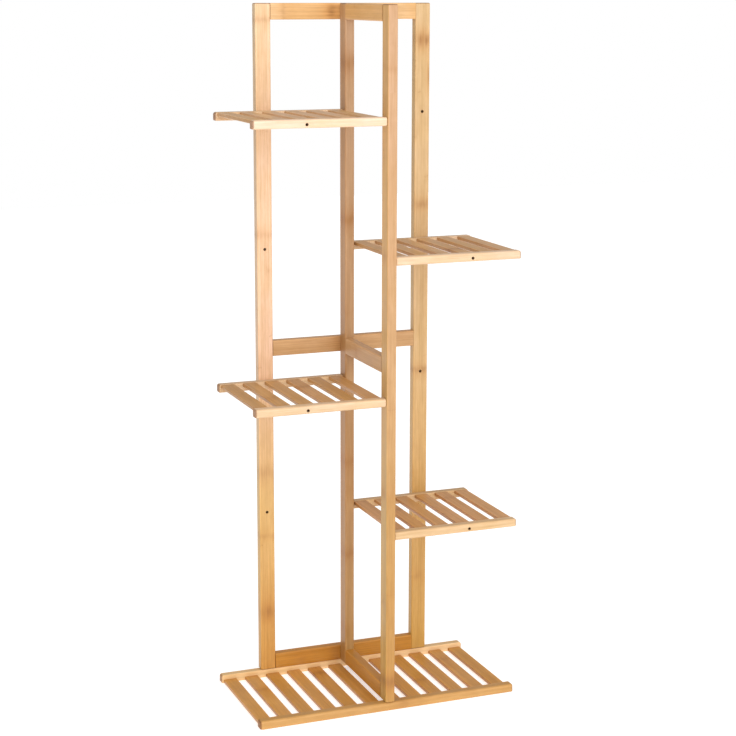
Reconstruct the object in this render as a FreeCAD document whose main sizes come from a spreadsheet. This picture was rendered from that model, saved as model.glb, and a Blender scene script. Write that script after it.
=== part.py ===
import FreeCAD, Part
import os
import math
import Sketcher
from FreeCAD import Vector, Rotation, Placement

# Tiered bamboo plant stand.
# +Z up, +X to the right, +Y to the back, millimetres.
# Origin: middle of the footprint, on the floor.

doc = FreeCAD.newDocument("plant_stand")

# ---------------------------------------------------------------- sizes
sheet = doc.addObject("Spreadsheet::Sheet", "Sizes")
SIZES = [
    # overall
    ("stand_height", 1000.0, "floor to the top of the frames"),
    ("base_length", 392.0, "base rails, left to right"),
    ("base_depth", 200.0, "base, front to back"),
    ("shelf_reach", 198.0, "mid-plane to the outer end of a shelf"),
    # stock
    ("stock_thick", 14.0, "thickness of posts, frame rails and panel rails"),
    ("post_width", 23.0, "wide face of a post"),
    ("frame_rail_height", 23.0, "frame rails, top to bottom"),
    ("panel_rail_height", 12.0, "shelf and base rails, top to bottom"),
    ("edge_round", 2.0, "eased edges of posts and frame rails"),
    ("panel_round", 3.5, "rounded outer edges of shelf and base rails"),
    ("inner_round", 1.5, "eased inner edges of shelf and base rails"),
    # frames
    ("frame_width", 268.0, "back frame over both posts"),
    ("mid_rail_top", 516.0, "top of the mid rails above the floor"),
    # shelves
    ("shelf_a_top", 850.0, "upper left shelf"),
    ("shelf_b_top", 658.0, "upper right shelf"),
    ("shelf_c_top", 460.0, "lower left shelf"),
    ("shelf_d_top", 265.0, "lower right shelf"),
    ("shelf_setback", 2.0, "shelf front behind the base front"),
    # slats
    ("slat_width", 20.0, "slat, left to right"),
    ("slat_thick", 5.0, "slat, top to bottom"),
    ("slat_round", 1.0, "eased long edges of a slat"),
    ("slat_sink", 0.5, "slat face below the rail's face"),
    ("slat_end_gap", 3.0, "outer slat in from the rail ends"),
    ("base_slats", 12.0, "slats in the base"),
    ("shelf_slats", 6.0, "slats in a shelf"),
    ("tongue_length", 5.0, "tongue on each slat end"),
    ("tongue_thick", 3.0, "tongue, top to bottom"),
    ("tongue_shoulder", 1.5, "tongue in from the slat's edges"),
    ("glue_gap", 0.05, "clearance round tongues and dowels"),
    # dowels
    ("dowel_diam", 6.0, "wooden dowel"),
    ("dowel_length", 24.0, "wooden dowel, half in each piece"),
    ("dowel_spread", 11.0, "between the two dowels of a joint"),
    ("pin_diam", 5.0, "dowel pin at the inner end of a shelf rail"),
    ("pin_length", 24.0, "dowel pin, end to end"),
    ("pin_in_post", 10.0, "dowel pin, part inside the centre post"),
    ("pin_in", 6.0, "dowel pin, in from the outer face of the shelf rail"),
    # screws
    ("screw_diam", 4.0, "screw shank"),
    ("screw_hole", 4.3, "drilled hole for a screw"),
    ("head_diam", 8.0, "countersunk head"),
    ("head_deep", 2.4, "height of the countersunk head"),
    ("back_screw_length", 25.0, "from behind the back frame"),
    ("screw_up", 5.0, "shelf screw above the underside of the shelf rail"),
    ("foot_screw_length", 48.0, "from under the base into a post"),
    ("foot_in_side", 6.5, "foot screw in from the outer edge of an outer post"),
    ("foot_in_face", 5.5, "foot screw in from the front or back of the base"),
    ("socket_width", 2.5, "hexagon socket, across flats"),
]
for i, (alias, value, words) in enumerate(SIZES):
    row = i + 1
    sheet.set("A%d" % row, words)
    sheet.set("B%d" % row, repr(value))
    sheet.setAlias("B%d" % row, alias)
doc.recompute()


def val(alias):
    return float(sheet.get(alias))


bodies = {}
Q = "Sizes."


def num(expression):
    """Value of an expression in the sheet's words, for first sketch positions."""
    names = {a: v for a, v, _ in SIZES}
    tokens = []
    word = ""
    for ch in expression + " ":
        if ch.isalnum() or ch in "_.":
            word += ch
        else:
            if word:
                tokens.append(word)
                word = ""
            if ch != " ":
                tokens.append(ch)
    pos = [0]

    def factor():
        t = tokens[pos[0]]
        pos[0] += 1
        if t == "(":
            v = total()
            pos[0] += 1
            return v
        if t == "-":
            return -factor()
        if t.startswith("Sizes."):
            return names[t[6:]]
        return float(t)

    def term():
        v = factor()
        while pos[0] < len(tokens) and tokens[pos[0]] in "*/":
            op = tokens[pos[0]]
            pos[0] += 1
            w = factor()
            v = v * w if op == "*" else v / w
        return v

    def total():
        v = term()
        while pos[0] < len(tokens) and tokens[pos[0]] in "+-":
            op = tokens[pos[0]]
            pos[0] += 1
            w = term()
            v = v + w if op == "+" else v - w
        return v

    return total()


def plane_of(body, role):
    for feature in body.Origin.OriginFeatures:
        if feature.Role == role:
            return feature
    raise RuntimeError(role)


def sketch_on(body, role, name, lift=None):
    """Sketch on one of the body's own origin planes, lifted along its normal."""
    sk = body.newObject("Sketcher::SketchObject", name)
    sk.AttachmentSupport = [(plane_of(body, role), "")]
    sk.MapMode = "FlatFace"
    if lift is not None:
        sk.AttachmentOffset = Placement(Vector(0, 0, num(lift)), Rotation())
        sk.setExpression("AttachmentOffset.Base.z", lift)
    return sk


def named(sk, index, name, expression):
    sk.renameConstraint(index, name)
    sk.setExpression("Constraints." + name, expression)


def rectangle(sk, wide, high, left=None, low=None):
    """Rectangle held by its size and by its distance from the origin."""
    w, hh = num(wide), num(high)
    x0 = num(left) if left else 0.0
    y0 = num(low) if low else 0.0
    pts = [Vector(x0, y0, 0), Vector(x0 + w, y0, 0),
           Vector(x0 + w, y0 + hh, 0), Vector(x0, y0 + hh, 0)]
    g = sk.GeometryCount
    for a in range(4):
        sk.addGeometry(Part.LineSegment(pts[a], pts[(a + 1) % 4]), False)
    for a in range(4):
        sk.addConstraint(Sketcher.Constraint("Coincident", g + a, 2, g + (a + 1) % 4, 1))
    sk.addConstraint(Sketcher.Constraint("Horizontal", g))
    sk.addConstraint(Sketcher.Constraint("Horizontal", g + 2))
    sk.addConstraint(Sketcher.Constraint("Vertical", g + 1))
    sk.addConstraint(Sketcher.Constraint("Vertical", g + 3))
    named(sk, sk.addConstraint(Sketcher.Constraint("DistanceX", g, 1, g, 2, w)), "wide%d" % g, wide)
    named(sk, sk.addConstraint(Sketcher.Constraint("DistanceY", g + 1, 1, g + 1, 2, hh)), "high%d" % g, high)
    if left:
        named(sk, sk.addConstraint(Sketcher.Constraint("DistanceX", -1, 1, g, 1, x0)), "left%d" % g, left)
        named(sk, sk.addConstraint(Sketcher.Constraint("DistanceY", -1, 1, g, 1, y0)), "low%d" % g, low)
    else:
        sk.addConstraint(Sketcher.Constraint("Coincident", g, 1, -1, 1))


def circles(sk, diameter, centres):
    for x, y in centres:
        g = sk.GeometryCount
        sk.addGeometry(Part.Circle(Vector(num(x), num(y), 0), Vector(0, 0, 1), num(diameter) / 2), False)
        named(sk, sk.addConstraint(Sketcher.Constraint("DistanceX", -1, 1, g, 3, num(x))), "x%d" % g, x)
        named(sk, sk.addConstraint(Sketcher.Constraint("DistanceY", -1, 1, g, 3, num(y))), "y%d" % g, y)
        named(sk, sk.addConstraint(Sketcher.Constraint("Diameter", g, num(diameter))), "d%d" % g, diameter)


ROLE = {"X": "YZ_Plane", "Y": "XZ_Plane", "Z": "XY_Plane"}
SIZE_OF = {"X": 0, "Y": 1, "Z": 2}


def bar(label, run, dims):
    """A plain bar from its low corner, padded along run. dims are expressions in X, Y, Z."""
    body = doc.addObject("PartDesign::Body", label)
    body.Label = label
    sk = sketch_on(body, ROLE[run], label + "_section")
    if run == "X":
        rectangle(sk, dims[1], dims[2])
    elif run == "Y":
        rectangle(sk, dims[0], dims[2])
    else:
        rectangle(sk, dims[0], dims[1])
    pad = body.newObject("PartDesign::Pad", label + "_bar")
    pad.Profile = sk
    pad.Length = num(dims[SIZE_OF[run]])
    pad.setExpression("Length", dims[SIZE_OF[run]])
    pad.Reversed = (run == "Y")
    sk.Visibility = False
    doc.recompute()
    return body, pad


def ease(body, base, names, radius, name):
    before = body.Shape.Volume
    fillet = body.newObject("PartDesign::Fillet", body.Label + "_" + name)
    fillet.Base = (base, names)
    fillet.Radius = num(radius)
    fillet.setExpression("Radius", radius)
    doc.recompute()
    if not body.Shape.Volume < before - 1.0:
        raise RuntimeError("fillet cut nothing: " + body.Label + " " + name)
    return fillet


def put(label, body, corner):
    for axis, expression in zip("xyz", corner):
        setattr(body.Placement.Base, axis, num(expression))
        body.setExpression("Placement.Base." + axis, expression)
    bodies[label] = body
    return body


def stick(label, run, dims, corner, round_all=True, radius=Q + "edge_round"):
    """A bar with eased edges. round_all eases its ends too."""
    body, pad = bar(label, run, dims)
    along = {"X": Vector(1, 0, 0), "Y": Vector(0, 1, 0), "Z": Vector(0, 0, 1)}[run]
    names = []
    for n, edge in enumerate(pad.Shape.Edges):
        d = edge.tangentAt(edge.FirstParameter)
        if round_all or abs(d.dot(along)) > 0.99:
            names.append("Edge%d" % (n + 1))
    ease(body, pad, names, radius, "eased")
    return put(label, body, corner)


def plane_sided(shape, edge):
    """True for a straight edge between two flat faces."""
    try:
        if not isinstance(edge.Curve, (Part.Line, Part.LineSegment)):
            return False
    except TypeError:
        return False
    sides = [f for f in shape.Faces if any(e.isSame(edge) for e in f.Edges)]
    return len(sides) == 2 and all(isinstance(f.Surface, Part.Plane) for f in sides)


def rail_bar(label, dims, corner, outer, free_ends, under):
    """A shelf or base rail along X: well rounded outside and at its free ends, eased inside.
    outer is "low" or "high" in Y. under says whether the long lower edge is well rounded too."""
    body, pad = bar(label, "X", dims)
    length, thick, high = [num(d) for d in dims]
    out_y = 0.0 if outer == "low" else thick
    names = []
    for n, edge in enumerate(pad.Shape.Edges):
        a, b = edge.Vertexes[0].Point, edge.Vertexes[-1].Point
        mid, d = (a + b) * 0.5, b - a
        end = "low" if mid.x < length / 2 else "high"
        outside = abs(mid.y - out_y) < 0.1
        lower = mid.z < 0.1
        if abs(d.x) > 1:
            wanted = outside and (under or not lower)
        elif abs(d.z) > 1:
            wanted = outside and end in free_ends
        else:
            wanted = end in free_ends and not lower
        if wanted:
            names.append("Edge%d" % (n + 1))
    rounded = ease(body, pad, names, Q + "panel_round", "rounded")
    names = ["Edge%d" % (n + 1) for n, edge in enumerate(rounded.Shape.Edges)
             if plane_sided(rounded.Shape, edge)]
    ease(body, rounded, names, Q + "inner_round", "eased")
    return put(label, body, corner)


def drill(body, axis, centres, depth=None, side="low", extent=None, diameter=Q + "screw_hole", name="holes"):
    """Round holes along one axis, through the bar or blind from one side.
    centres are the two other coordinates, in X, Y, Z order."""
    lift = None
    if side == "high":
        lift = extent if axis != "Y" else "-(" + extent + ")"
    sk = sketch_on(body, ROLE[axis], body.Label + "_" + name + "_sketch", lift)
    circles(sk, diameter, centres)
    before = body.Shape.Volume
    pocket = body.newObject("PartDesign::Pocket", body.Label + "_" + name)
    pocket.Profile = sk
    if depth is None:
        pocket.Type = 1
    else:
        pocket.Type = 0
        pocket.Length = num(depth)
        pocket.setExpression("Length", depth)
    toward_high = (side == "low")
    # a pocket cuts against the sketch's normal, which is -Y on the XZ plane
    pocket.Reversed = toward_high if axis != "Y" else (not toward_high)
    sk.Visibility = False
    doc.recompute()
    if not body.Shape.Volume < before - 1.0:
        raise RuntimeError("holes cut nothing: " + body.Label + " " + name)
    return pocket


TURN = {"+X": Rotation(Vector(0, 1, 0), 90), "-X": Rotation(Vector(0, 1, 0), -90),
        "+Y": Rotation(Vector(1, 0, 0), -90), "-Y": Rotation(Vector(1, 0, 0), 90),
        "+Z": Rotation(), "-Z": Rotation(Vector(1, 0, 0), 180)}


def countersink(body, at, into, name):
    """Conical seat for a screw head: at a point of the face, into the wood."""
    before = body.Shape.Volume
    cone = body.newObject("PartDesign::SubtractiveCone", body.Label + "_" + name)
    cone.Radius1 = num(Q + "head_diam / 2 + 0.6")
    cone.setExpression("Radius1", Q + "head_diam / 2 + 0.6")
    cone.Radius2 = num(Q + "screw_hole / 2")
    cone.setExpression("Radius2", Q + "screw_hole / 2")
    cone.Height = num(Q + "head_deep + 0.3")
    cone.setExpression("Height", Q + "head_deep + 0.3")
    cone.Placement = Placement(Vector(*[num(a) for a in at]), TURN[into])
    for axis, expression in zip("xyz", at):
        cone.setExpression("Placement.Base." + axis, expression)
    doc.recompute()
    if not body.Shape.Volume < before - 1.0:
        raise RuntimeError("countersink cut nothing: " + body.Label)


# ---------------------------------------------------------------- places
T = Q + "stock_thick"
W = Q + "post_width"
FR = Q + "frame_rail_height"
PR = Q + "panel_rail_height"
FRONT = "-(Sizes.base_depth / 2)"
BACK_FACE = "Sizes.base_depth / 2"
FRAME_FRONT = "Sizes.base_depth / 2 - Sizes.stock_thick"      # front face of the back frame
REAR_POST_FRONT = "Sizes.base_depth / 2 - Sizes.stock_thick - Sizes.post_width"
POST_LENGTH = "Sizes.stand_height - Sizes.panel_rail_height"
HALF_T = "-(Sizes.stock_thick / 2)"
MID_T = "Sizes.stock_thick / 2"

SHELVES = [
    ("shelf_a", "left", Q + "shelf_a_top"),
    ("shelf_b", "right", Q + "shelf_b_top"),
    ("shelf_c", "left", Q + "shelf_c_top"),
    ("shelf_d", "right", Q + "shelf_d_top"),
]
# height of a shelf's screw holes above a post's foot, below the slat tongues
HOLE_UP = ["(" + top + " - 2 * Sizes.panel_rail_height + Sizes.screw_up)" for _, _, top in SHELVES]
# height of a shelf's dowel pins above a post's foot
PIN_UP = ["(" + top + " - Sizes.panel_rail_height / 2 - Sizes.panel_rail_height)" for _, _, top in SHELVES]
# middle heights of the three frame rails above a post's foot
RAIL_MIDS = [
    "(Sizes.stand_height - Sizes.panel_rail_height - Sizes.frame_rail_height / 2)",
    "(Sizes.mid_rail_top - Sizes.panel_rail_height - Sizes.frame_rail_height / 2)",
    "(Sizes.frame_rail_height / 2)",
]
DOWEL_HOLE = "Sizes.dowel_diam + 2 * Sizes.glue_gap"
DOWEL_DEEP = "Sizes.dowel_length / 2 + 0.5"
PIN_HOLE = "Sizes.pin_diam + 2 * Sizes.glue_gap"


def dowel_heights(mid):
    return [mid + " - Sizes.dowel_spread / 2", mid + " + Sizes.dowel_spread / 2"]


# ---------------------------------------------------------------- back frame
for side in ("left", "right"):
    x = "-(Sizes.frame_width / 2)" if side == "left" else "Sizes.frame_width / 2 - Sizes.post_width"
    post = stick("back_%s_post" % side, "Z", (W, T, POST_LENGTH), (x, FRAME_FRONT, PR))
    # holes for the shelf screws at all four shelf heights, as the two posts are alike
    drill(post, "Y", [("Sizes.post_width / 2", up) for up in HOLE_UP], name="shelf_holes")
    for n, ((_, s, _), up) in enumerate(zip(SHELVES, HOLE_UP)):
        if s == side:
            countersink(post, ("Sizes.post_width / 2", T, up), "-Y", "seat_%d" % n)
    # dowel sockets in the inner edge
    spots = [(MID_T, z) for mid in RAIL_MIDS for z in dowel_heights(mid)]
    drill(post, "X", spots, depth=DOWEL_DEEP, side="high" if side == "left" else "low", extent=W,
          diameter=DOWEL_HOLE, name="dowel_sockets")
    # pilot hole for the foot screw, clear of the bottom rail's dowels
    foot_x = Q + "foot_in_side" if side == "left" else "Sizes.post_width - Sizes.foot_in_side"
    drill(post, "Z", [(foot_x, "Sizes.stock_thick - Sizes.foot_in_face")],
          depth="Sizes.foot_screw_length - Sizes.panel_rail_height + 1", name="foot_pilot")

RAIL_LEVELS = [
    ("top", "Sizes.stand_height - Sizes.frame_rail_height"),
    ("mid", "Sizes.mid_rail_top - Sizes.frame_rail_height"),
    ("bottom", PR),
]
BACK_RAIL_LENGTH = "Sizes.frame_width - 2 * Sizes.post_width"
for level, z in RAIL_LEVELS:
    rail = stick("back_%s_rail" % level, "X", (BACK_RAIL_LENGTH, T, FR),
                 ("-(Sizes.frame_width / 2) + Sizes.post_width", FRAME_FRONT, z), round_all=False)
    spots = [(MID_T, h) for h in dowel_heights("Sizes.frame_rail_height / 2")]
    drill(rail, "X", spots, depth=DOWEL_DEEP, diameter=DOWEL_HOLE, name="left_sockets")
    drill(rail, "X", spots, depth=DOWEL_DEEP, side="high", extent=BACK_RAIL_LENGTH,
          diameter=DOWEL_HOLE, name="right_sockets")
    middle = "(Sizes.frame_width - 2 * Sizes.post_width) / 2"
    drill(rail, "Y", [(middle, "Sizes.frame_rail_height / 2")], name="screw_hole")
    countersink(rail, (middle, T, "Sizes.frame_rail_height / 2"), "-Y", "seat")

# ---------------------------------------------------------------- centre frame
PIN_Y = {"front": "Sizes.shelf_setback + Sizes.pin_in",
         "rear": "Sizes.post_width - Sizes.pin_in"}
for place in ("front", "rear"):
    y = FRONT if place == "front" else REAR_POST_FRONT
    post = stick("centre_%s_post" % place, "Z", (T, W, POST_LENGTH), (HALF_T, y, PR))
    # blind sockets for the shelf pins, each on the side that its shelf is on
    for s in ("left", "right"):
        ups = [up for (_, where, _), up in zip(SHELVES, PIN_UP) if where == s]
        drill(post, "X", [(PIN_Y[place], up) for up in ups], depth="Sizes.pin_in_post + 0.5",
              side="low" if s == "left" else "high", extent=T, diameter=PIN_HOLE, name=s + "_pin_sockets")
    spots = [(MID_T, z) for mid in RAIL_MIDS for z in dowel_heights(mid)]
    drill(post, "Y", spots, depth=DOWEL_DEEP, side="high" if place == "front" else "low", extent=W,
          diameter=DOWEL_HOLE, name="dowel_sockets")
    if place == "front":
        drill(post, "Z", [(MID_T, Q + "foot_in_face")],
              depth="Sizes.foot_screw_length - Sizes.panel_rail_height + 1", name="foot_pilot")
    else:
        drill(post, "Y", [(MID_T, mid) for mid in RAIL_MIDS],
              depth="Sizes.back_screw_length - Sizes.stock_thick + 1", side="high", extent=W,
              name="back_pilots")

SIDE_RAIL_LENGTH = "Sizes.base_depth - Sizes.stock_thick - 2 * Sizes.post_width"
for level, z in RAIL_LEVELS:
    rail = stick("centre_%s_rail" % level, "Y", (T, SIDE_RAIL_LENGTH, FR),
                 (HALF_T, "-(Sizes.base_depth / 2) + Sizes.post_width", z), round_all=False)
    spots = [(MID_T, h) for h in dowel_heights("Sizes.frame_rail_height / 2")]
    drill(rail, "Y", spots, depth=DOWEL_DEEP, diameter=DOWEL_HOLE, name="front_sockets")
    drill(rail, "Y", spots, depth=DOWEL_DEEP, side="high", extent=SIDE_RAIL_LENGTH,
          diameter=DOWEL_HOLE, name="rear_sockets")


# ---------------------------------------------------------------- slatted panels
def mortises(rail, face, first, pitch, count, low):
    """A row of mortises for the slat tongues, in the rail's inner face."""
    inner = "Sizes.stock_thick - Sizes.tongue_length - 0.2"
    lift = "-(" + inner + ")" if face == "back" else "-(Sizes.tongue_length + 0.2)"
    sk = sketch_on(rail, "XZ_Plane", rail.Label + "_mortise_sketch", lift)
    wide = "Sizes.slat_width - 2 * Sizes.tongue_shoulder + 2 * Sizes.glue_gap"
    high = "Sizes.tongue_thick + 2 * Sizes.glue_gap"
    rectangle(sk, wide, high, first + " + Sizes.tongue_shoulder - Sizes.glue_gap",
              low + " - Sizes.glue_gap")
    before = rail.Shape.Volume
    pocket = rail.newObject("PartDesign::Pocket", rail.Label + "_mortise")
    pocket.Profile = sk
    pocket.Type = 1
    pocket.Reversed = (face == "front")
    sk.Visibility = False
    doc.recompute()
    one = before - rail.Shape.Volume
    if one < 1.0:
        raise RuntimeError("mortise cut nothing: " + rail.Label)
    row = rail.newObject("PartDesign::LinearPattern", rail.Label + "_mortise_row")
    row.Originals = [pocket]
    axis = [f for f in rail.Origin.OriginFeatures if f.Role == "X_Axis"][0]
    row.Direction = (axis, [""])
    row.Length = num(pitch + " * (" + count + " - 1)")
    row.setExpression("Length", pitch + " * (" + count + " - 1)")
    row.Occurrences = int(round(num(count)))
    row.setExpression("Occurrences", count)
    rail.Tip = row
    doc.recompute()
    cut = before - rail.Shape.Volume
    if abs(cut - one * num(count)) > 0.02 * cut:
        raise RuntimeError("mortise row is short: %s %.1f %.1f" % (rail.Label, cut, one))


def slat(label, corner, clear):
    """A slat from its low corner, with a tongue on each end."""
    body = stick(label, "Y", (Q + "slat_width", clear, Q + "slat_thick"), corner,
                 round_all=False, radius=Q + "slat_round")
    sk = sketch_on(body, "XZ_Plane", label + "_tongue_sketch", Q + "tongue_length")
    rectangle(sk, "Sizes.slat_width - 2 * Sizes.tongue_shoulder", Q + "tongue_thick",
              Q + "tongue_shoulder", "(Sizes.slat_thick - Sizes.tongue_thick) / 2")
    tongue = body.newObject("PartDesign::Pad", label + "_tongues")
    tongue.Profile = sk
    tongue.Length = num(clear + " + 2 * Sizes.tongue_length")
    tongue.setExpression("Length", clear + " + 2 * Sizes.tongue_length")
    tongue.Reversed = True
    sk.Visibility = False
    doc.recompute()
    return body


def panel(name, x0, length, y0, y1, z0, slats_low, first, pitch, count, n_slats, slat_label, clear,
          free_ends=("low", "high"), under=True):
    """Two rails and the slats between them."""
    tongue_low = slats_low + " + (Sizes.slat_thick - Sizes.tongue_thick) / 2"
    front = rail_bar(name + "_front_rail", (length, T, PR), (x0, y0, z0), "low", free_ends, under)
    mortises(front, "back", first, pitch, count, tongue_low)
    back = rail_bar(name + "_back_rail", (length, T, PR), (x0, y1, z0), "high", free_ends, under)
    mortises(back, "front", first, pitch, count, tongue_low)
    for i in range(n_slats):
        slat(slat_label % (i + 1),
             (x0 + " + " + first + " + %d * " % i + pitch, y0 + " + Sizes.stock_thick",
              z0 + " + " + slats_low), clear)
    return front, back


# base: its slats lie near the bottom of the rails
BASE_PITCH = "((Sizes.base_length - 2 * Sizes.slat_end_gap - Sizes.slat_width) / (Sizes.base_slats - 1))"
base_front, base_back = panel(
    "base", "-(Sizes.base_length / 2)", Q + "base_length", FRONT, FRAME_FRONT, "0",
    Q + "slat_sink", Q + "slat_end_gap", BASE_PITCH, Q + "base_slats", 12,
    "base_slat_%02d", "Sizes.base_depth - 2 * Sizes.stock_thick", under=False)
post_x = ["Sizes.base_length / 2 - Sizes.frame_width / 2 + Sizes.foot_in_side",
          "Sizes.base_length / 2 + Sizes.frame_width / 2 - Sizes.foot_in_side"]
BACK_FOOT_Y = "Sizes.stock_thick - Sizes.foot_in_face"
drill(base_back, "Z", [(x, BACK_FOOT_Y) for x in post_x], name="foot_holes")
for n, x in enumerate(post_x):
    countersink(base_back, (x, BACK_FOOT_Y, "0"), "+Z", "seat_%d" % n)
drill(base_front, "Z", [("Sizes.base_length / 2", Q + "foot_in_face")], name="foot_hole")
countersink(base_front, ("Sizes.base_length / 2", Q + "foot_in_face", "0"), "+Z", "seat")

# side shelves: their slats lie flush with the top of the rails
SHELF_LENGTH = "Sizes.shelf_reach - Sizes.stock_thick / 2"
SHELF_PITCH = "((Sizes.shelf_reach - Sizes.stock_thick / 2 - 2 * Sizes.slat_end_gap - Sizes.slat_width) / (Sizes.shelf_slats - 1))"
POST_MID = "Sizes.frame_width / 2 - Sizes.post_width / 2"
for name, side, top in SHELVES:
    x0 = "-(Sizes.shelf_reach)" if side == "left" else "Sizes.stock_thick / 2"
    front, back = panel(
        name, x0, SHELF_LENGTH, "-(Sizes.base_depth / 2) + Sizes.shelf_setback",
        "Sizes.base_depth / 2 - 2 * Sizes.stock_thick", top + " - Sizes.panel_rail_height",
        "Sizes.panel_rail_height - Sizes.slat_sink - Sizes.slat_thick",
        Q + "slat_end_gap", SHELF_PITCH, Q + "shelf_slats", 6, name + "_slat_%d",
        "Sizes.base_depth - Sizes.shelf_setback - 3 * Sizes.stock_thick",
        free_ends=("low",) if side == "left" else ("high",))
    hole_x = ("Sizes.shelf_reach - (" + POST_MID + ")") if side == "left" else (POST_MID + " - Sizes.stock_thick / 2")
    # pilot for the post's screw, and its twin in the front rail, because a shelf fits either way round
    drill(back, "Y", [(hole_x, Q + "screw_up")],
          depth="Sizes.back_screw_length - Sizes.stock_thick + 0.5", side="high", extent=T, name="post_pilot")
    drill(front, "Y", [(hole_x, Q + "screw_up")],
          depth="Sizes.back_screw_length - Sizes.stock_thick + 0.5", name="spare_pilot")
    for rail, pin_y in ((front, Q + "pin_in"), (back, "Sizes.stock_thick - Sizes.pin_in")):
        drill(rail, "X", [(pin_y, "Sizes.panel_rail_height / 2")],
              depth="Sizes.pin_length - Sizes.pin_in_post + 0.5",
              side="high" if side == "left" else "low", extent=SHELF_LENGTH,
              diameter=PIN_HOLE, name="pin_socket")


# ---------------------------------------------------------------- fasteners
def screw_pattern(label, length):
    """One countersunk screw along +Z, head face at the origin, as a turned profile."""
    body = doc.addObject("PartDesign::Body", label)
    body.Label = label
    sk = sketch_on(body, "XZ_Plane", label + "_profile")
    r, hr, hd, ln = num(Q + "screw_diam / 2"), num(Q + "head_diam / 2"), num(Q + "head_deep"), num(length)
    pts = [(0, 0), (hr, 0), (hr, 0.3), (r, hd), (r, ln - 4), (0.3, ln), (0, ln)]
    for a in range(len(pts)):
        p, q = pts[a], pts[(a + 1) % len(pts)]
        sk.addGeometry(Part.LineSegment(Vector(p[0], p[1], 0), Vector(q[0], q[1], 0)), False)
    m = len(pts)
    for a in range(m):
        sk.addConstraint(Sketcher.Constraint("Coincident", a, 2, (a + 1) % m, 1))
    sk.addConstraint(Sketcher.Constraint("Coincident", 0, 1, -1, 1))
    sk.addConstraint(Sketcher.Constraint("Horizontal", 0))
    sk.addConstraint(Sketcher.Constraint("Vertical", 1))
    sk.addConstraint(Sketcher.Constraint("Vertical", 3))
    sk.addConstraint(Sketcher.Constraint("Horizontal", 5))
    sk.addConstraint(Sketcher.Constraint("Vertical", 6))
    named(sk, sk.addConstraint(Sketcher.Constraint("DistanceX", 0, 1, 0, 2, hr)), "head_r", Q + "head_diam / 2")
    named(sk, sk.addConstraint(Sketcher.Constraint("DistanceY", 1, 1, 1, 2, 0.3)), "rim", "0.3")
    named(sk, sk.addConstraint(Sketcher.Constraint("DistanceX", 6, 2, 3, 1, r)), "shank_r", Q + "screw_diam / 2")
    named(sk, sk.addConstraint(Sketcher.Constraint("DistanceY", 0, 1, 3, 1, hd)), "head_low", Q + "head_deep")
    named(sk, sk.addConstraint(Sketcher.Constraint("DistanceY", 0, 1, 3, 2, ln - 4)), "shank_low", length + " - 4")
    named(sk, sk.addConstraint(Sketcher.Constraint("DistanceY", 0, 1, 5, 1, ln)), "tip", length)
    named(sk, sk.addConstraint(Sketcher.Constraint("DistanceX", 5, 2, 5, 1, 0.3)), "tip_r", "0.3")
    turned = body.newObject("PartDesign::Revolution", label + "_turned")
    turned.Profile = sk
    turned.ReferenceAxis = (sk, ["V_Axis"])
    turned.Angle = 360.0
    sk.Visibility = False
    doc.recompute()
    # hexagon socket
    hx = sketch_on(body, "XY_Plane", label + "_socket_sketch")
    rad = num(Q + "socket_width") / math.sqrt(3.0)
    corners = [Vector(rad * math.cos(math.radians(60 * k)), rad * math.sin(math.radians(60 * k)), 0) for k in range(6)]
    for k in range(6):
        hx.addGeometry(Part.LineSegment(corners[k], corners[(k + 1) % 6]), False)
    ring = hx.addGeometry(Part.Circle(Vector(0, 0, 0), Vector(0, 0, 1), rad), True)
    for k in range(6):
        hx.addConstraint(Sketcher.Constraint("Coincident", k, 2, (k + 1) % 6, 1))
        hx.addConstraint(Sketcher.Constraint("PointOnObject", k, 1, ring))
    for k in range(1, 6):
        hx.addConstraint(Sketcher.Constraint("Equal", 0, k))
    hx.addConstraint(Sketcher.Constraint("Coincident", ring, 3, -1, 1))
    hx.addConstraint(Sketcher.Constraint("PointOnObject", 0, 1, -1))
    named(hx, hx.addConstraint(Sketcher.Constraint("Radius", ring, rad)), "corner_r",
          Q + "socket_width / sqrt(3)")
    before = body.Shape.Volume
    socket = body.newObject("PartDesign::Pocket", label + "_socket")
    socket.Profile = hx
    socket.Length = 1.8
    socket.setExpression("Length", Q + "head_deep * 0.75")
    socket.Reversed = True
    hx.Visibility = False
    doc.recompute()
    if not body.Shape.Volume < before - 1.0:
        raise RuntimeError("socket cut nothing: " + label)
    return body


def dowel_pattern(label, diameter, length):
    """One dowel along +Z, centred, with eased ends."""
    body = doc.addObject("PartDesign::Body", label)
    body.Label = label
    sk = sketch_on(body, "XY_Plane", label + "_section", "-(" + length + " / 2)")
    g = sk.addGeometry(Part.Circle(Vector(0, 0, 0), Vector(0, 0, 1), num(diameter + " / 2")), False)
    sk.addConstraint(Sketcher.Constraint("Coincident", g, 3, -1, 1))
    named(sk, sk.addConstraint(Sketcher.Constraint("Diameter", g, num(diameter))), "diam", diameter)
    pad = body.newObject("PartDesign::Pad", label + "_rod")
    pad.Profile = sk
    pad.Length = num(length)
    pad.setExpression("Length", length)
    sk.Visibility = False
    doc.recompute()
    ends = []
    for n, e in enumerate(pad.Shape.Edges):
        if isinstance(e.Curve, Part.Circle):
            ends.append("Edge%d" % (n + 1))
    ch = body.newObject("PartDesign::Chamfer", label + "_ends")
    ch.Base = (pad, ends)
    ch.Size = 0.8
    doc.recompute()
    return body


back_screw = screw_pattern("back_screw_pattern", Q + "back_screw_length")
foot_screw = screw_pattern("foot_screw_pattern", Q + "foot_screw_length")
dowel = dowel_pattern("dowel_pattern", Q + "dowel_diam", Q + "dowel_length")
pin = dowel_pattern("pin_pattern", Q + "pin_diam", Q + "pin_length")


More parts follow.
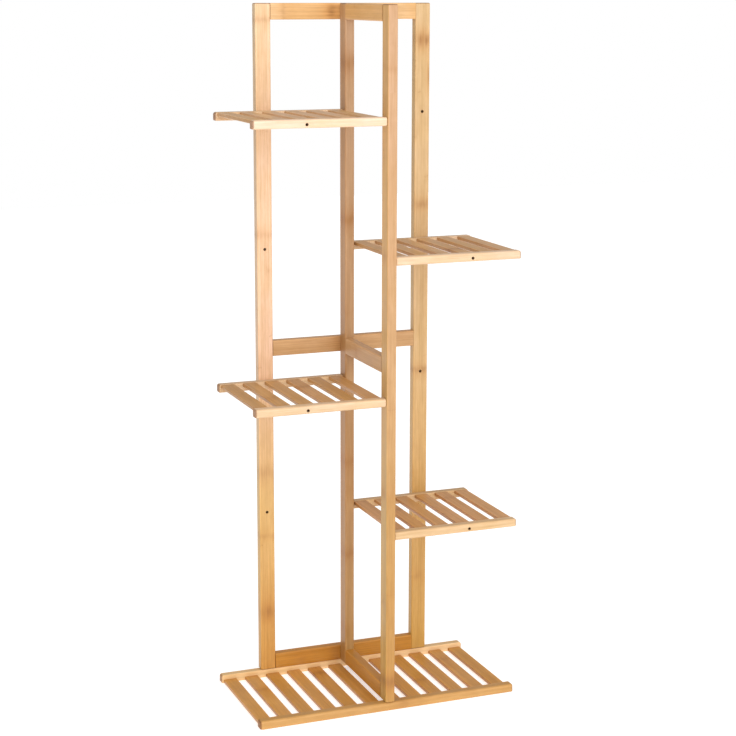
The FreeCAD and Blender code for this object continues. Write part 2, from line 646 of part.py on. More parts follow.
def group(label, pattern, places):
    """Identical fasteners as one node of separate solids."""
    copies = []
    for at, into in places:
        shape = pattern.Shape.copy()
        shape.Placement = Placement(Vector(*at), TURN[into])
        copies.append(shape)
    feature = doc.addObject("Part::Feature", label)
    feature.Label = label
    feature.Shape = Part.makeCompound(copies)
    feature.Placement = Placement()
    bodies[label] = feature
    return feature


t, w, pr, fr = val("stock_thick"), val("post_width"), val("panel_rail_height"), val("frame_rail_height")
top_z, depth = val("stand_height"), val("base_depth")
x_post = val("frame_width") / 2 - w / 2
pin_z = [val(n + "_top") - pr / 2 for n, _, _ in SHELVES]
shelf_z = [val(n + "_top") - pr + val("screw_up") for n, _, _ in SHELVES]
rail_z = [top_z - fr / 2, val("mid_rail_top") - fr / 2, pr + fr / 2]
# heads lie a hair under the face, and deeper under the base
hair = 0.1
under_base = 0.3

places = []
for (name, side, _), z in zip(SHELVES, shelf_z):
    places.append(((-x_post if side == "left" else x_post, depth / 2 - hair, z), "-Y"))
for z in rail_z:
    places.append(((0.0, depth / 2 - hair, z), "-Y"))
group("back_screws", back_screw, places)

places = []
y_front = -depth / 2 + val("shelf_setback") + val("pin_in")
y_rear = depth / 2 - t - val("pin_in")
# a pin's middle is this far from the mid-plane
pin_x = t / 2 + val("pin_length") / 2 - val("pin_in_post")
for (name, side, _), z in zip(SHELVES, pin_z):
    for y in (y_front, y_rear):
        places.append(((-pin_x if side == "left" else pin_x, y, z), "+X"))
group("shelf_end_dowels", pin, places)

x_foot = val("frame_width") / 2 - val("foot_in_side")
y_foot = depth / 2 - val("foot_in_face")
group("foot_screws", foot_screw, [
    ((-x_foot, y_foot, under_base), "+Z"),
    ((x_foot, y_foot, under_base), "+Z"),
    ((0.0, -y_foot, under_base), "+Z"),
])

places = []
half = val("dowel_spread") / 2
for z in rail_z:
    for dz in (-half, half):
        for x in (-val("frame_width") / 2 + w, val("frame_width") / 2 - w):
            places.append(((x, depth / 2 - t / 2, z + dz), "+X"))
        for y in (-depth / 2 + w, depth / 2 - t - w):
            places.append(((0.0, y, z + dz), "+Y"))
group("frame_dowels", dowel, places)

# ---------------------------------------------------------------- checks
doc.recompute()
for obj in doc.Objects:
    if "Invalid" in obj.State or "Error" in obj.State:
        raise RuntimeError("failed object: %s %s" % (obj.Name, obj.State))
for label, body in bodies.items():
    shape = body.Shape
    if shape.isNull() or not shape.isValid():
        raise RuntimeError("bad shape: " + label)
    if len(shape.Solids) < 1:
        raise RuntimeError("no solid: " + label)
    if not label.endswith(("screws", "dowels")) and len(shape.Solids) != 1:
        raise RuntimeError("not one solid: " + label)

os.makedirs("parts", exist_ok=True)
for old in os.listdir("parts"):
    if old.endswith(".step"):
        os.remove(os.path.join("parts", old))
for label, body in bodies.items():
    body.Shape.exportStep(os.path.join("parts", label + ".step"))

low = Vector(1e9, 1e9, 1e9)
high = Vector(-1e9, -1e9, -1e9)
for body in bodies.values():
    b = body.Shape.optimalBoundingBox(False)
    low = Vector(min(low.x, b.XMin), min(low.y, b.YMin), min(low.z, b.ZMin))
    high = Vector(max(high.x, b.XMax), max(high.y, b.YMax), max(high.z, b.ZMax))
print("parts", len(bodies), "box", tuple(round(a, 2) for a in low), tuple(round(a, 2) for a in high))
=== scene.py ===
import math
import random

import bpy
from mathutils import Matrix, Vector


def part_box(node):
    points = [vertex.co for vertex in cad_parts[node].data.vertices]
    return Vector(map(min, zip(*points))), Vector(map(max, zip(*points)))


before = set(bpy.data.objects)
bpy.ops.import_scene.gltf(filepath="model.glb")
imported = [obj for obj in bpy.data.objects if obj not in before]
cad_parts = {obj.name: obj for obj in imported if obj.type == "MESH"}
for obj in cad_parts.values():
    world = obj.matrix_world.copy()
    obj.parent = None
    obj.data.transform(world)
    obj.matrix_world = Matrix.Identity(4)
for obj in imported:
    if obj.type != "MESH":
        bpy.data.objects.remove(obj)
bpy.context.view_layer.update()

scene = bpy.context.scene
MM = 0.001


# ------------------------------------------------------------ node helpers
class Tree:
    """Short words for building a material's node tree."""

    def __init__(self, mat):
        self.t = mat.node_tree
        self.t.nodes.clear()
        self.out = self.t.nodes.new("ShaderNodeOutputMaterial")

    def put(self, socket, value):
        if value is None:
            return
        if isinstance(value, bpy.types.NodeSocket):
            self.t.links.new(value, socket)
        elif isinstance(value, (tuple, list)) and len(value) == 3 and socket.type == "RGBA":
            socket.default_value = (value[0], value[1], value[2], 1.0)
        else:
            socket.default_value = value

    def m(self, op, a, b=None, c=None, clamp=False):
        n = self.t.nodes.new("ShaderNodeMath")
        n.operation = op
        n.use_clamp = clamp
        for i, v in enumerate((a, b, c)):
            self.put(n.inputs[i], v)
        return n.outputs[0]

    def step(self, v, lo, hi, a=0.0, b=1.0):
        """Smooth step of v from lo to hi, giving a to b."""
        n = self.t.nodes.new("ShaderNodeMapRange")
        n.interpolation_type = "SMOOTHSTEP"
        self.put(n.inputs[0], v)
        for i, x in enumerate((lo, hi, a, b)):
            self.put(n.inputs[1 + i], x)
        return n.outputs[0]

    def vec(self, x, y, z):
        n = self.t.nodes.new("ShaderNodeCombineXYZ")
        for i, v in enumerate((x, y, z)):
            self.put(n.inputs[i], v)
        return n.outputs[0]

    def noise(self, vector, scale=1.0, detail=2.0, rough=0.5, distortion=0.0):
        n = self.t.nodes.new("ShaderNodeTexNoise")
        self.put(n.inputs["Vector"], vector)
        n.inputs["Scale"].default_value = scale
        n.inputs["Detail"].default_value = detail
        n.inputs["Roughness"].default_value = rough
        n.inputs["Distortion"].default_value = distortion
        return n.outputs[0]

    def white(self, value):
        n = self.t.nodes.new("ShaderNodeTexWhiteNoise")
        n.noise_dimensions = "1D"
        self.put(n.inputs["W"], value)
        return n.outputs[0]

    def cells(self, vector, scale):
        n = self.t.nodes.new("ShaderNodeTexVoronoi")
        self.put(n.inputs["Vector"], vector)
        n.inputs["Scale"].default_value = scale
        return n.outputs["Distance"]

    def mix(self, fac, a, b, kind="MIX"):
        n = self.t.nodes.new("ShaderNodeMix")
        n.data_type = "RGBA"
        n.blend_type = kind
        self.put(n.inputs[0], fac)
        self.put(n.inputs[6], a)
        self.put(n.inputs[7], b)
        return n.outputs[2]

    def ramp(self, fac, stops):
        n = self.t.nodes.new("ShaderNodeValToRGB")
        e = n.color_ramp.elements
        while len(e) > 1:
            e.remove(e[-1])
        e[0].position = stops[0][0]
        e[0].color = (*stops[0][1], 1)
        for p, c in stops[1:]:
            q = e.new(p)
            q.color = (*c, 1)
        self.put(n.inputs[0], fac)
        return n.outputs[0]


# ------------------------------------------------------------ bamboo
# the tone by height above the floor: honey gold low down, pale peach higher up
TONES = {
    "post": [(0.00, (0.580, 0.345, 0.088)), (0.10, (0.575, 0.340, 0.095)), (0.28, (0.590, 0.365, 0.130)),
             (0.50, (0.600, 0.410, 0.210)), (1.00, (0.625, 0.440, 0.237))],
    "post_pale": [(0.00, (0.620, 0.325, 0.084)), (0.10, (0.600, 0.335, 0.098)), (0.28, (0.640, 0.415, 0.168)),
                  (0.50, (0.760, 0.510, 0.345)), (1.00, (0.790, 0.565, 0.370))],
    "post_front": [(0.00, (0.510, 0.280, 0.078)), (0.10, (0.500, 0.275, 0.082)), (0.28, (0.500, 0.290, 0.100)),
                   (0.50, (0.540, 0.330, 0.165)), (1.00, (0.565, 0.355, 0.215))],
    # the rear centre post's tones are darkened as painted shade, for the shade it stands in behind the shelves
    "post_rear_shaded": [(0.00, (0.400, 0.235, 0.085)), (0.28, (0.390, 0.215, 0.085)), (0.50, (0.395, 0.225, 0.100)),
                  (1.00, (0.455, 0.285, 0.165))],
    "rail": [(0.00, (0.520, 0.240, 0.033)), (0.10, (0.520, 0.240, 0.033)), (0.48, (0.540, 0.325, 0.155)),
             (1.00, (0.680, 0.410, 0.175))],
    "panel": [(0.00, (0.750, 0.520, 0.270)), (0.10, (0.750, 0.520, 0.270)), (0.28, (0.645, 0.450, 0.255)),
              (0.50, (0.730, 0.550, 0.390)), (1.00, (0.800, 0.610, 0.450))],
    "panel_front": [(0.00, (0.530, 0.300, 0.100)), (1.00, (0.530, 0.300, 0.100))],
    "panel_back": [(0.00, (0.560, 0.380, 0.205)), (0.28, (0.560, 0.380, 0.205)), (0.50, (0.610, 0.440, 0.290)),
                   (1.00, (0.670, 0.490, 0.340))],
    "slat": [(0.00, (0.600, 0.310, 0.075)), (0.10, (0.600, 0.310, 0.075)), (0.28, (0.600, 0.330, 0.130)),
             (0.50, (0.560, 0.320, 0.115)), (1.00, (0.710, 0.475, 0.262))],
}
# the narrow faces of posts and slats against their wide faces, low down and high up: on the posts partly the plainer
# outer face of one strip and partly painted shade, on the slats painted shade that darkens their sides
SKINS_AND_SHADE = {
    "back_left_post": ((0.86, 0.90, 0.90), (0.74, 0.78, 0.78)),
    "back_right_post": ((0.95, 0.97, 0.90), (0.90, 0.90, 0.82)),
    "centre_front_post": ((1.01, 1.14, 1.17), (1.05, 1.03, 0.70)),
    "centre_rear_post": ((1.05, 0.98, 0.90), (1.05, 0.98, 0.85)),
    "slat": ((0.72, 0.64, 0.56), (0.72, 0.66, 0.62)),
}
AX = {"x": 0, "y": 1, "z": 2}


def bamboo(name, run, wide, thick, tone, strip, seed, marks=(), holes=(), joints=1.0, side=None, rounding=2.0,
           vary=0.4, washes=(), ends_at=None):
    """Laminated bamboo of one piece. run is the axis along the grain, wide the axis across
    its strips, thick the third. marks are (place along the grain, place across or None,
    half height, half width, strength). holes are (axis, centre on the two other axes, radius).
    joints is how strongly the strips' own nodes show, side the axis that the narrow faces look
    along, whose tint is partly the plainer outer face of one strip and partly painted shade, and
    rounding the radius of the outer edges in millimetres. vary is how much the hue changes, washes
    are (place along the grain, half length, colour) of paler stretches, and ends_at is how far from
    its middle a piece meets its neighbours, where painted shade darkens the piece's ends."""
    rnd = random.Random(seed)
    lo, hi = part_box(name)
    mat = bpy.data.materials.new("bamboo_" + name)
    mat.use_nodes = True
    T = Tree(mat)
    tc = T.t.nodes.new("ShaderNodeTexCoord")
    sep = T.t.nodes.new("ShaderNodeSeparateXYZ")
    T.put(sep.inputs[0], tc.outputs["Object"])
    P = {a: sep.outputs[AX[a]] for a in "xyz"}
    geo = T.t.nodes.new("ShaderNodeNewGeometry")
    nsep = T.t.nodes.new("ShaderNodeSeparateXYZ")
    T.put(nsep.inputs[0], geo.outputs["Normal"])
    NRM = {a: T.m("ABSOLUTE", nsep.outputs[AX[a]]) for a in "xyz"}
    u = P[run]
    v = T.m("SUBTRACT", P[wide], lo[AX[wide]])
    w = T.m("SUBTRACT", P[thick], lo[AX[thick]])
    # shift of the pattern, so that no two pieces are alike
    ou, ov, ow = rnd.uniform(0, 50), rnd.uniform(0, 50), rnd.uniform(0, 50)

    # strips across the wide face, a little off parallel like real stock
    drift = T.m("MULTIPLY", u, rnd.uniform(-0.0012, 0.0012))
    vs = T.m("ADD", T.m("ADD", v, drift), rnd.uniform(0, 0.35) * strip)
    sidx = T.m("DIVIDE", vs, strip)
    si = T.m("FLOOR", sidx)
    sf = T.m("SUBTRACT", sidx, si)
    ra = T.white(T.m("ADD", si, 7.13 + seed))
    rb = T.white(T.m("ADD", si, 91.7 + seed))
    line = T.m("MINIMUM", sf, T.m("SUBTRACT", 1.0, sf))
    line = T.step(line, 0.0, 0.00035 / strip, 1.0, 0.0)

    # grain, three sizes: fibre dashes, streaks and slow change
    ustr = T.m("ADD", u, T.m("MULTIPLY", ra, 3.0))
    fib = T.noise(T.vec(T.m("MULTIPLY_ADD", v, 1500.0, ov), T.m("MULTIPLY_ADD", w, 1500.0, ow),
                        T.m("MULTIPLY_ADD", ustr, 36.0, ou)), 1.0, 3.0, 0.6)
    stk = T.noise(T.vec(T.m("MULTIPLY_ADD", v, 420.0, ov), T.m("MULTIPLY_ADD", w, 300.0, ow),
                        T.m("MULTIPLY_ADD", ustr, 7.0, ou)), 1.0, 2.0, 0.55)
    slow = T.noise(T.vec(T.m("MULTIPLY_ADD", v, 45.0, ov), T.m("MULTIPLY_ADD", w, 45.0, ow),
                         T.m("MULTIPLY_ADD", u, 5.0, ou)), 1.0, 2.0, 0.5)
    long = T.noise(T.vec(ov, T.m("MULTIPLY_ADD", v, 25.0, ow), T.m("MULTIPLY_ADD", u, 17.0, ou)), 1.0, 2.0, 0.5)
    # a small mottle, as lacquered bamboo has
    spot = T.noise(T.vec(T.m("MULTIPLY_ADD", v, 110.0, ow), T.m("MULTIPLY_ADD", w, 110.0, ou),
                         T.m("MULTIPLY_ADD", u, 42.0, ov)), 1.0, 3.0, 0.6)

    wander = T.m("SUBTRACT", stk, 0.5)
    z01 = P["z"]
    col = T.ramp(z01, TONES[tone])
    warm = T.mix(T.step(slow, 0.32, 0.68), (0.985, 0.955, 0.90), (1.03, 1.015, 1.02))
    col = T.mix(1.0, col, warm, "MULTIPLY")
    each = T.mix(ra, (0.955, 0.940, 0.900), (1.035, 1.040, 1.060))
    col = T.mix(1.0, col, each, "MULTIPLY")
    streak = T.mix(T.step(stk, 0.28, 0.72), (0.935, 0.905, 0.850), (1.04, 1.045, 1.06))
    col = T.mix(1.0, col, streak, "MULTIPLY")
    fibre = T.mix(T.step(fib, 0.30, 0.66), (0.90, 0.855, 0.76), (1.03, 1.035, 1.04))
    col = T.mix(0.8, col, T.mix(1.0, col, fibre, "MULTIPLY"))
    # some pieces are pinker, some more golden, and each one changes along its length
    pink = rnd.uniform(-1, 1) * vary
    shade = T.mix(T.step(long, 0.30, 0.70), (0.985 + 0.02 * pink, 0.945 + 0.03 * pink, 0.82 + 0.12 * pink),
                  (1.025 + 0.02 * pink, 1.035 + 0.03 * pink, 1.12 + 0.14 * pink))
    col = T.mix(min(1.0, vary), col, T.mix(1.0, col, shade, "MULTIPLY"))
    mottle = T.mix(T.step(spot, 0.30, 0.70), (0.955, 0.935, 0.90), (1.02, 1.02, 1.025))
    col = T.mix(1.0, col, mottle, "MULTIPLY")

    for at, half, tint in washes:
        d = T.m("ABSOLUTE", T.m("SUBTRACT", T.m("MULTIPLY_ADD", wander, 0.016, u), at))
        col = T.mix(T.step(d, half * 0.55, half * 1.3, 1.0, 0.0), col, T.mix(1.0, col, tint, "MULTIPLY"))
    if ends_at:
        # painted shade: the slat's colour darkens towards its ends where it meets its rails, standing in for the
        # shade in the joint
        d = T.m("SUBTRACT", T.m("ABSOLUTE", T.m("SUBTRACT", u, (lo[AX[run]] + hi[AX[run]]) / 2)), ends_at)
        col = T.mix(T.step(T.m("MULTIPLY_ADD", wander, 0.004, d), -0.009, 0.003, 0.0, 0.75), col,
                    T.mix(1.0, col, (0.80, 0.66, 0.50), "MULTIPLY"))

    # the strips' joints show on the wide faces
    onwide = T.step(NRM[thick], 0.55, 0.85)
    col = T.mix(T.m("MULTIPLY", T.m("MULTIPLY", line, onwide), 0.26), col, (0.30, 0.155, 0.055))

    # every strip's own nodes: a thin brown line in a faint halo, one per culm joint
    gap = 0.27
    wob = T.m("MULTIPLY", T.m("SUBTRACT", T.noise(T.vec(T.m("MULTIPLY_ADD", v, 260.0, ow), T.m("MULTIPLY", w, 120.0), ou), 1.0, 1.0, 0.5), 0.5), 0.006)
    nu = T.m("DIVIDE", T.m("ADD", u, wob), gap)
    nu = T.m("ADD", nu, T.m("MULTIPLY", rb, 9.0))
    nf = T.m("ABSOLUTE", T.m("SUBTRACT", T.m("SUBTRACT", nu, T.m("FLOOR", nu)), 0.5))
    nd = T.m("MULTIPLY", nf, gap)
    core = T.step(nd, 0.0003, 0.0017, 1.0, 0.0)
    halo = T.step(nd, 0.0, 0.011, 1.0, 0.0)
    few = T.step(T.white(T.m("ADD", T.m("FLOOR", nu), T.m("MULTIPLY", si, 17.0))), 0.35, 0.75)
    ragged = T.step(stk, 0.30, 0.60, 1.0, 0.35)
    core = T.m("MULTIPLY", T.m("MULTIPLY", core, few), ragged)
    halo = T.m("MULTIPLY", halo, few)
    col = T.mix(T.m("MULTIPLY", halo, 0.28 * joints), col, T.mix(1.0, col, (0.86, 0.72, 0.52), "MULTIPLY"))
    col = T.mix(T.m("MULTIPLY", core, 0.50 * joints), col, (0.33, 0.150, 0.045))

    # the larger marks
    bumps = T.m("MULTIPLY", core, joints)
    for at, across, hh, hw, strength in marks:
        d = T.m("DIVIDE", T.m("SUBTRACT", T.m("ADD", u, T.m("MULTIPLY", wob, 1.3)), at), hh)
        d = T.m("MULTIPLY", d, d)
        if across is not None:
            e = T.m("DIVIDE", T.m("SUBTRACT", v, across), hw)
            d = T.m("ADD", d, T.m("MULTIPLY", e, e))
        g = T.m("EXPONENT", T.m("MULTIPLY", d, -1.0))
        soft = T.m("EXPONENT", T.m("MULTIPLY", d, -0.16))
        rag = T.step(stk, 0.25, 0.62, 1.0, 0.55)
        col = T.mix(T.m("MULTIPLY", soft, 0.42 * strength), col, T.mix(1.0, col, (0.88, 0.68, 0.42), "MULTIPLY"))
        col = T.mix(T.m("MULTIPLY", T.m("MULTIPLY", g, rag), 0.72 * strength), col, (0.300, 0.125, 0.030))
        bumps = T.m("MAXIMUM", bumps, T.m("MULTIPLY", g, 0.7 * strength))

    # the narrow sides: partly one strip's plainer, yellower outer face, partly painted shade that darkens them as
    # they turn from the light
    if side:
        skin_and_shade = T.mix(T.step(z01, 0.15, 0.75), *SKINS_AND_SHADE.get(name, SKINS_AND_SHADE["slat"]))
        col = T.mix(T.step(NRM[side], 0.55, 0.90), col, T.mix(1.0, col, skin_and_shade, "MULTIPLY"))

    # end grain: darker, with the dots of the fibre bundles; the mask also reaches onto the rounding of the ends,
    # where the darker colour is painted shade
    onend = T.step(NRM[run], 0.25, 0.75)
    dots = T.cells(T.vec(T.m("MULTIPLY_ADD", v, 1.0, ov), T.m("MULTIPLY_ADD", w, 1.0, ow), 0.0), 1050.0)
    dots = T.step(dots, 0.18, 0.42, 1.0, 0.0)
    ends = T.mix(1.0, col, (0.56, 0.44, 0.38), "MULTIPLY")
    ends = T.mix(T.m("MULTIPLY", dots, 0.60), ends, (0.16, 0.085, 0.045))
    col = T.mix(onend, col, ends)

    # painted highlight on the edges: the rounding is painted paler, a bright line where light catches it, and is a
    # little shinier
    half_v, half_w = (hi[AX[wide]] - lo[AX[wide]]) / 2, (hi[AX[thick]] - lo[AX[thick]]) / 2
    dv = T.m("SUBTRACT", half_v, T.m("ABSOLUTE", T.m("SUBTRACT", v, half_v)))
    dw = T.m("SUBTRACT", half_w, T.m("ABSOLUTE", T.m("SUBTRACT", w, half_w)))
    edge = T.step(T.m("ADD", dv, dw), 0.00045 * rounding, 0.0015 * rounding, 1.0, 0.0)
    edge_highlight = T.m("MULTIPLY", edge, T.step(slow, 0.30, 0.62, 0.45, 1.0))
    col = T.mix(T.m("MULTIPLY", edge_highlight, 0.70), col, T.mix(1.0, col, (1.16, 1.14, 1.12), "MULTIPLY"))

    # drilled holes: dark walls, partly the bare wood inside and partly painted shade for the shade down the hole
    hole = None
    for axis, (c1, c2), radius in holes:
        a1, a2 = [a for a in "xyz" if a != axis]
        d1, d2 = T.m("SUBTRACT", P[a1], c1), T.m("SUBTRACT", P[a2], c2)
        r = T.m("SQRT", T.m("ADD", T.m("MULTIPLY", d1, d1), T.m("MULTIPLY", d2, d2)))
        g = T.step(r, radius + 0.00005, radius + 0.00045, 1.0, 0.0)
        hole = g if hole is None else T.m("MAXIMUM", hole, g)
    if hole is not None:
        col = T.mix(T.m("MULTIPLY", hole, 0.35), col, (0.110, 0.055, 0.025))

    # lacquer: satin, a little uneven, duller on the ends and in the holes
    rough = T.m("MULTIPLY_ADD", spot, 0.20, 0.27)
    rough = T.m("MULTIPLY_ADD", fib, 0.10, rough)
    rough = T.m("SUBTRACT", rough, T.m("MULTIPLY", edge_highlight, 0.07))
    rough = T.m("MULTIPLY_ADD", onend, 0.22, rough)
    if hole is not None:
        rough = T.m("MULTIPLY_ADD", hole, 0.3, rough)
    high = T.m("MULTIPLY", fib, 0.55)
    high = T.m("MULTIPLY_ADD", stk, 0.45, high)
    high = T.m("SUBTRACT", high, T.m("MULTIPLY", T.m("MULTIPLY", line, onwide), 0.9))
    high = T.m("MULTIPLY_ADD", bumps, 0.8, high)
    bump = T.t.nodes.new("ShaderNodeBump")
    bump.inputs["Strength"].default_value = 0.55
    bump.inputs["Distance"].default_value = 0.00012
    T.put(bump.inputs["Height"], high)

    p = T.t.nodes.new("ShaderNodeBsdfPrincipled")
    T.put(p.inputs["Base Color"], col)
    T.put(p.inputs["Roughness"], rough)
    T.put(p.inputs["Normal"], bump.outputs[0])
    p.inputs["IOR"].default_value = 1.46
    p.inputs["Specular IOR Level"].default_value = 0.45
    p.inputs["Coat Weight"].default_value = 0.10
    p.inputs["Coat Roughness"].default_value = 0.22
    T.put(T.out.inputs[0], p.outputs[0])
    return mat


def dowel_wood():
    """Bare turned hardwood of the dowels and pins."""
    mat = bpy.data.materials.new("dowel_wood")
    mat.use_nodes = True
    T = Tree(mat)
    tc = T.t.nodes.new("ShaderNodeTexCoord")
    sep = T.t.nodes.new("ShaderNodeSeparateXYZ")
    T.put(sep.inputs[0], tc.outputs["Object"])
    x, y, z = sep.outputs
    a = T.noise(T.vec(T.m("MULTIPLY", x, 300.0), T.m("MULTIPLY", y, 300.0), T.m("MULTIPLY", z, 900.0)), 1.0, 3.0, 0.6)
    b = T.noise(T.vec(T.m("MULTIPLY", x, 60.0), T.m("MULTIPLY", y, 60.0), T.m("MULTIPLY", z, 200.0)), 1.0, 2.0, 0.5)
    col = T.mix(T.step(a, 0.3, 0.7), (0.44, 0.28, 0.14), (0.62, 0.44, 0.26))
    col = T.mix(T.m("MULTIPLY", b, 0.5), col, (0.55, 0.34, 0.17))
    bump = T.t.nodes.new("ShaderNodeBump")
    bump.inputs["Strength"].default_value = 0.5
    bump.inputs["Distance"].default_value = 0.0001
    T.put(bump.inputs["Height"], a)
    p = T.t.nodes.new("ShaderNodeBsdfPrincipled")
    T.put(p.inputs["Base Color"], col)
    T.put(p.inputs["Roughness"], T.m("MULTIPLY_ADD", a, 0.2, 0.55))
    T.put(p.inputs["Normal"], bump.outputs[0])
    T.put(T.out.inputs[0], p.outputs[0])
    return mat


def plated_steel():
    """Zinc-plated screws: fine turning scratches, a yellowish cast in patches."""
    mat = bpy.data.materials.new("screw_steel")
    mat.use_nodes = True
    T = Tree(mat)
    tc = T.t.nodes.new("ShaderNodeTexCoord")
    obj = tc.outputs["Object"]
    fine = T.noise(obj, 6000.0, 3.0, 0.6, 0.4)
    wide = T.noise(obj, 900.0, 2.0, 0.5)
    col = T.mix(T.step(fine, 0.3, 0.7), (0.50, 0.49, 0.47), (0.72, 0.71, 0.69))
    col = T.mix(T.m("MULTIPLY", T.step(wide, 0.45, 0.7), 0.5), col, (0.60, 0.55, 0.42))
    bump = T.t.nodes.new("ShaderNodeBump")
    bump.inputs["Strength"].default_value = 0.35
    bump.inputs["Distance"].default_value = 0.00004
    T.put(bump.inputs["Height"], fine)
    p = T.t.nodes.new("ShaderNodeBsdfPrincipled")
    p.inputs["Metallic"].default_value = 1.0
    T.put(p.inputs["Base Color"], col)
    T.put(p.inputs["Roughness"], T.m("MULTIPLY_ADD", fine, 0.25, 0.25))
    T.put(p.inputs["Normal"], bump.outputs[0])
    T.put(T.out.inputs[0], p.outputs[0])
    return mat


# ------------------------------------------------------------ what each piece is
# screw holes: shelf screws sit 5 mm above a shelf rail's underside
HOLE_Z = [0.843, 0.651, 0.453, 0.258]
POST_X = 0.1225
MARKS = {
    "back_left_post": [(0.977, None, 0.004, 0.01, 0.45), (0.103, 0.0125, 0.0075, 0.0030, 1.20),
                       (0.103, None, 0.010, 0.01, 0.45), (0.62, 0.017, 0.004, 0.003, 0.35),
                       (0.455, 0.006, 0.004, 0.005, 0.35), (0.672, None, 0.006, 0.01, 0.40),
                       (0.318, None, 0.010, 0.01, 0.45), (0.221, None, 0.004, 0.01, 0.35)],
    "back_right_post": [(0.947, 0.0085, 0.008, 0.0026, 1.2), (0.947, 0.0185, 0.007, 0.0040, 1.3),
                        (0.947, None, 0.008, 0.01, 0.35), (0.894, 0.0213, 0.014, 0.0018, 1.1),
                        (0.706, 0.012, 0.006, 0.009, 1.0), (0.456, None, 0.005, 0.01, 0.75),
                        (0.130, 0.009, 0.005, 0.006, 0.5)],
    "centre_rear_post": [(0.917, None, 0.010, 0.01, 1.15), (0.692, None, 0.007, 0.01, 1.1),
                         (0.330, None, 0.006, 0.01, 0.7), (0.187, None, 0.005, 0.01, 0.9),
                         (0.070, 0.014, 0.006, 0.006, 0.7)],
    "centre_front_post": [(0.659, 0.012, 0.006, 0.007, 0.9), (0.322, 0.012, 0.007, 0.007, 1.0),
                          (0.044, None, 0.007, 0.01, 1.25), (0.160, 0.012, 0.005, 0.006, 0.5),
                          (0.915, None, 0.004, 0.01, 0.25)],
    "back_top_rail": [(-0.0195, 0.011, 0.006, 0.009, 1.35), (0.075, 0.012, 0.003, 0.006, 0.45),
                      (-0.092, None, 0.003, 0.01, 0.40)],
    "back_mid_rail": [(-0.006, None, 0.010, 0.01, 0.45)],
    "back_bottom_rail": [(-0.070, 0.008, 0.008, 0.006, 0.5), (-0.014, None, 0.010, 0.01, 0.6)],
    "centre_mid_rail": [(0.020, 0.010, 0.005, 0.006, 0.5)],
    "shelf_b_slat_4": [(-0.045, None, 0.006, 0.01, 1.0)],
    "shelf_c_slat_4": [(0.020, None, 0.006, 0.01, 0.7)],
    "shelf_c_slat_2": [(-0.030, None, 0.005, 0.01, 0.5)],
    "shelf_d_slat_2": [(0.010, None, 0.006, 0.01, 0.8)],
    "shelf_d_slat_5": [(0.040, None, 0.005, 0.01, 0.4)],
    "base_slat_05": [(0.060, None, 0.007, 0.01, 1.0)],
    "base_slat_02": [(0.030, None, 0.006, 0.01, 0.6)],
    "base_slat_09": [(-0.020, None, 0.006, 0.01, 0.6)],
    "base_slat_11": [(0.045, None, 0.006, 0.01, 0.5)],
    "base_front_rail": [(0.020, None, 0.008, 0.01, 0.45)],
}
R = 0.00215
wood = dowel_wood()
steel = plated_steel()
names = sorted(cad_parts)
for i, name in enumerate(names):
    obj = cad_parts[name]
    seed = 11 + i * 7
    marks = MARKS.get(name, ())
    if name.endswith("screws"):
        mat = steel
    elif name.endswith("dowels"):
        mat = wood
    elif name in ("back_left_post", "back_right_post"):
        x = -POST_X if "left" in name else POST_X
        mat = bamboo(name, "z", "x", "y", "post_pale" if "left" in name else "post", 0.00575, seed, marks,
                     [("y", (x, z), R) for z in HOLE_Z], joints=0.6, side="x")
    elif name in ("centre_front_post", "centre_rear_post"):
        mat = bamboo(name, "z", "y", "x", "post_front" if "front" in name else "post_rear_shaded", 0.00575, seed, marks,
                     joints=0.5, side="x")
    elif name.startswith("back_") and name.endswith("_rail"):
        washes = []
        if name == "back_top_rail":
            washes = [(-0.128, 0.040, (1.08, 1.19, 1.50)), (0.060, 0.045, (1.02, 1.10, 1.30))]
        mat = bamboo(name, "x", "z", "y", "rail", 0.00575, seed, marks, joints=0.5, washes=washes)
    elif name.startswith("centre_") and name.endswith("_rail"):
        mat = bamboo(name, "y", "z", "x", "rail", 0.00575, seed, marks, joints=0.5)
    elif name.endswith("_rail"):
        holes = []
        if name.startswith("shelf_") and "front" in name:
            x = -POST_X if name[6] in "ac" else POST_X
            holes = [("y", (x, HOLE_Z["abcd".index(name[6])]), R)]
        tone = "panel"
        if name == "base_front_rail":
            tone = "panel_front"
        elif name.startswith("shelf_") and "back" in name:
            tone = "panel_back"
        mat = bamboo(name, "x", "y", "z", tone, 0.0071, seed, marks, holes, joints=0.12, rounding=3.5, vary=0.55)
    else:
        mat = bamboo(name, "y", "x", "z", "slat", 0.0068, seed, marks, joints=0.8, side="x", vary=1.0,
                     ends_at=(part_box(name)[1][1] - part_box(name)[0][1]) / 2 - 0.005)
    obj.data.materials.clear()
    obj.data.materials.append(mat)


# ------------------------------------------------------------ floor, light, camera
def plain(name, colour, glow):
    mat = bpy.data.materials.new(name)
    mat.use_nodes = True
    T = Tree(mat)
    tc = T.t.nodes.new("ShaderNodeTexCoord")
    n = T.noise(tc.outputs["Object"], 3.0, 2.0, 0.5)
    p = T.t.nodes.new("ShaderNodeBsdfPrincipled")
    T.put(p.inputs["Base Color"], T.mix(n, tuple(c * 0.99 for c in colour), colour))
    p.inputs["Roughness"].default_value = 0.9
    p.inputs["Specular IOR Level"].default_value = 0.1
    p.inputs["Emission Color"].default_value = (1, 1, 1, 1)
    p.inputs["Emission Strength"].default_value = glow
    T.put(T.out.inputs[0], p.outputs[0])
    return mat


me = bpy.data.meshes.new("floor")
s = 6.0
me.from_pydata([(-s, -s, 0), (s, -s, 0), (s, s, 0), (-s, s, 0)], [], [(0, 1, 2, 3)])
floor = bpy.data.objects.new("floor", me)
scene.collection.objects.link(floor)
floor.location.z = -0.0002
me.materials.append(plain("pale_floor", (0.86, 0.86, 0.86), 0.46))

world = bpy.data.worlds.new("studio")
scene.world = world
world.use_nodes = True
bg = world.node_tree.nodes["Background"]
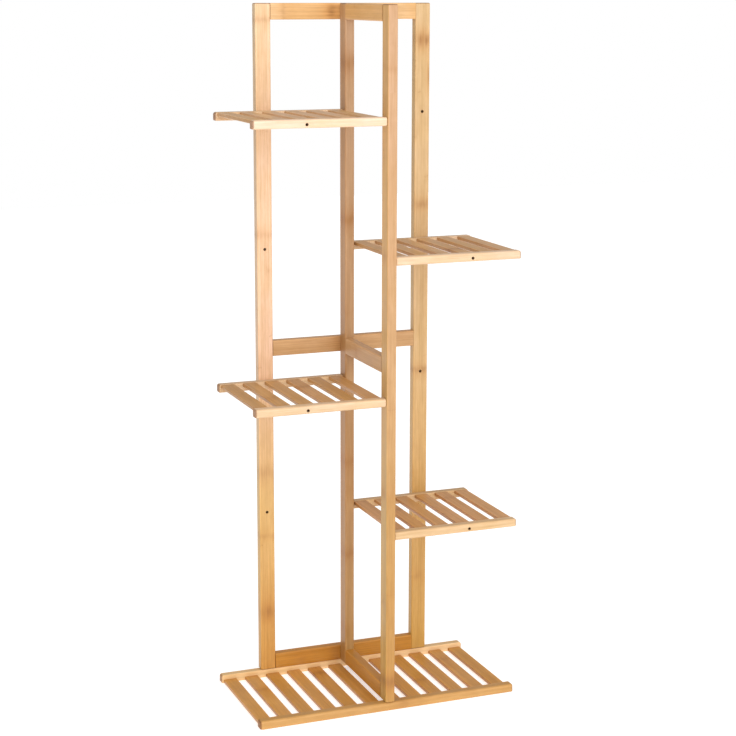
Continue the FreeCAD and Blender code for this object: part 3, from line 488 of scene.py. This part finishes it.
# a white studio, brightest in front of the object
wt = world.node_tree
wc = wt.nodes.new("ShaderNodeTexCoord")
dot = wt.nodes.new("ShaderNodeVectorMath")
dot.operation = "DOT_PRODUCT"
wt.links.new(wc.outputs["Generated"], dot.inputs[0])
dot.inputs[1].default_value = Vector((-0.22, -0.94, 0.26)).normalized()
wr = wt.nodes.new("ShaderNodeMapRange")
wr.interpolation_type = "SMOOTHSTEP"
wt.links.new(dot.outputs["Value"], wr.inputs[0])
for k, x in enumerate((-0.6, 0.9, 0.42, 1.12)):
    wr.inputs[1 + k].default_value = x
wt.links.new(wr.outputs[0], bg.inputs[1])
bg.inputs[0].default_value = (1, 1, 1, 1)
seen = wt.nodes.new("ShaderNodeBackground")
seen.inputs[0].default_value = (1, 1, 1, 1)
seen.inputs[1].default_value = 1.0
path = wt.nodes.new("ShaderNodeLightPath")
both = wt.nodes.new("ShaderNodeMixShader")
wt.links.new(path.outputs["Is Camera Ray"], both.inputs[0])
wt.links.new(bg.outputs[0], both.inputs[1])
wt.links.new(seen.outputs[0], both.inputs[2])
wt.links.new(both.outputs[0], wt.nodes["World Output"].inputs[0])


def softbox(name, at, to, size, power):
    data = bpy.data.lights.new(name, "AREA")
    data.shape = "SQUARE"
    data.size = size
    data.energy = power
    o = bpy.data.objects.new(name, data)
    scene.collection.objects.link(o)
    o.location = at
    o.rotation_euler = (Vector(to) - Vector(at)).to_track_quat("-Z", "Y").to_euler()
    return o


softbox("key", (-0.5, -3.4, 1.9), (0, 0, 0.5), 3.0, 56.0)

cam_data = bpy.data.cameras.new("camera")
cam = bpy.data.objects.new("camera", cam_data)
scene.collection.objects.link(cam)
yaw, pitch, roll = math.radians(-21.5058), math.radians(11.0386), math.radians(0.1164)
back = Vector((math.sin(yaw) * math.cos(pitch), -math.cos(yaw) * math.cos(pitch), math.sin(pitch)))
right = (-back).cross(Vector((0, 0, 1))).normalized()
up = right.cross(-back)
r2 = right * math.cos(roll) + up * math.sin(roll)
u2 = up * math.cos(roll) - right * math.sin(roll)
rot = Matrix((r2, u2, back)).transposed().to_4x4()
cam.matrix_world = Matrix.Translation((-0.92869, -2.36625, 1.02357)) @ rot
cam_data.sensor_width = 36.0
cam_data.sensor_fit = "HORIZONTAL"
cam_data.lens = 1805.59 / 736 * 36
cam_data.shift_x = 0.0
cam_data.shift_y = (338.36 - 368.0) / 736
cam_data.clip_start = 0.05
cam_data.clip_end = 50
scene.camera = cam

scene.view_settings.view_transform = "Standard"
scene.view_settings.look = "None"
scene.view_settings.exposure = 0.0
scene.view_settings.gamma = 1.0
